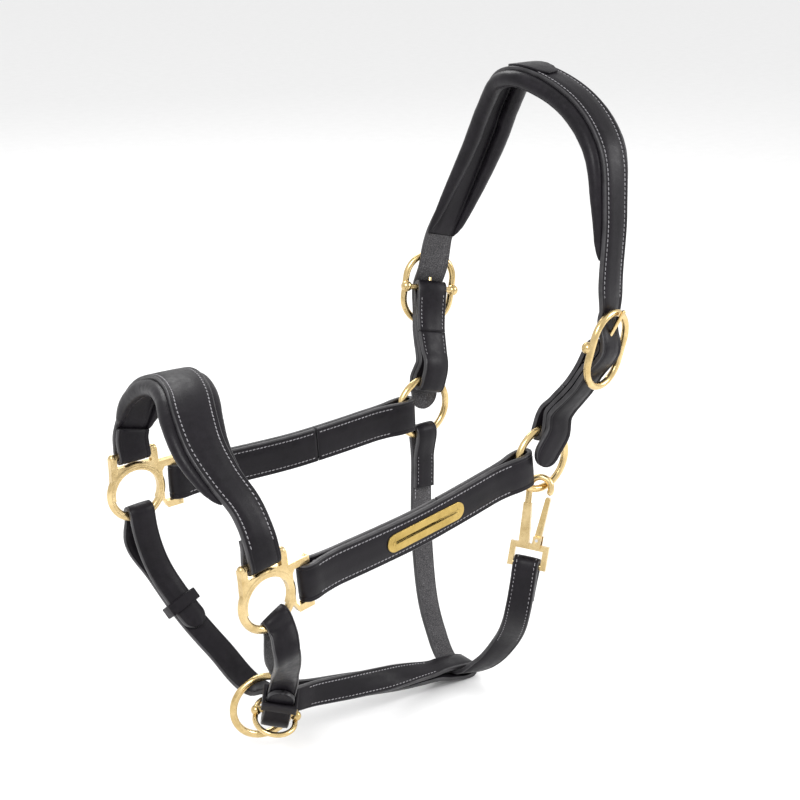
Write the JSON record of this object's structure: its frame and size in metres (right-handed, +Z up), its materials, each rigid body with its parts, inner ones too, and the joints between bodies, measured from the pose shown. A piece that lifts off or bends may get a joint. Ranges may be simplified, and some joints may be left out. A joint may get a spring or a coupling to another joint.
{
  "type": "horse headcollar",
  "caption": "Leather headcollar with padded crown and noseband, brass rings and buckles, a nameplate, joined chin straps and a throat strap that unclips.",
  "frame": {"origin": "middle of the padding's underside at the poll, where the headcollar hangs on the head", "axes": "+X from the nose towards the back of the head, +Y towards the far side, +Z up"},
  "size_m": [0.3668, 0.2284, 0.4972],
  "materials": {
    "strap_leather": "semi-gloss black bridle leather",
    "lining_leather": "soft black padding leather",
    "patch_leather": "black leather",
    "brass": "polished solid brass",
    "steel": "plain steel"
  },
  "bodies": {
    "crown": {"headpiece_strap": "strap_leather", "crown_padding": "lining_leather", "poll_patch": "patch_leather", "near_buckle_frame": "brass", "far_buckle_frame": "brass", "near_upper_cheek_strap": "strap_leather", "far_upper_cheek_strap": "strap_leather"},
    "lower": {"near_cheekpiece": "strap_leather", "far_cheekpiece": "strap_leather", "nameplate": "brass", "nameplate_rivets": "brass", "near_front_fitting": "brass", "far_front_fitting": "brass", "noseband_strap": "strap_leather", "noseband_padding": "lining_leather", "far_chin_strap": "strap_leather", "near_chin_strap": "strap_leather", "chin_buckle_frame": "brass", "near_chin_keeper": "strap_leather", "connecting_strap": "strap_leather", "throat_strap": "strap_leather", "snap_body": "brass", "gate_pin": "steel", "gate_spring": "steel"},
    "near_buckle_tongue": {"near_buckle_tongue": "brass"},
    "far_buckle_tongue": {"far_buckle_tongue": "brass"},
    "near_ring": {"near_ring": "brass"},
    "far_ring": {"far_ring": "brass"},
    "chin_buckle_tongue": {"chin_buckle_tongue": "brass"},
    "lead_ring": {"lead_ring": "brass"},
    "snap_gate": {"snap_gate": "brass"},
    "far_chin_keeper": {"far_chin_keeper": "strap_leather"}
  },
  "joints": [
    {"name": "crown_fold", "type": "hinge", "parent": "crown", "child": "lower", "pos_m": [-0.04, 0, -0.27], "axis": [0, 1, 0], "range_deg": [-20, 20]},
    {"name": "near_ring_spin", "type": "hinge", "parent": "lower", "child": "near_ring", "pos_m": [-0.04, -0.072, -0.27], "axis": [0, 1, 0], "continuous": true},
    {"name": "far_ring_spin", "type": "hinge", "parent": "lower", "child": "far_ring", "pos_m": [-0.04, 0.072, -0.27], "axis": [0, 1, 0], "continuous": true},
    {"name": "lead_ring_spin", "type": "hinge", "parent": "lower", "child": "lead_ring", "pos_m": [-0.25, 0, -0.441], "axis": [0.2419, 0.9703, 0], "continuous": true},
    {"name": "near_tongue_lift", "type": "hinge", "parent": "crown", "child": "near_buckle_tongue", "pos_m": [-0.01, -0.1, -0.18], "axis": [0.9508, 0.2014, -0.2355], "range_deg": [0, 29]},
    {"name": "far_tongue_lift", "type": "hinge", "parent": "crown", "child": "far_buckle_tongue", "pos_m": [-0.01, 0.1, -0.18], "axis": [-0.928, 0.3294, 0.1743], "range_deg": [0, 29]},
    {"name": "chin_tongue_lift", "type": "hinge", "parent": "lower", "child": "chin_buckle_tongue", "pos_m": [-0.2565, -0.027, -0.431], "axis": [-0.8026, 0.5618, 0.2006], "range_deg": [0, 23]},
    {"name": "gate_swing", "type": "hinge", "parent": "lower", "child": "snap_gate", "pos_m": [-0.04888, -0.08017, -0.33266], "axis": [-0.7841, -0.5451, 0.2967], "range_deg": [0, 18], "stiffness_Nm_per_rad": 0.05, "springref_deg": -11.46},
    {"name": "chin_keeper_slide", "type": "slide", "parent": "lower", "child": "far_chin_keeper", "axis": [0.3038, -0.5713, -0.7624], "range_m": [-0.003, 0.003]}
  ]
}
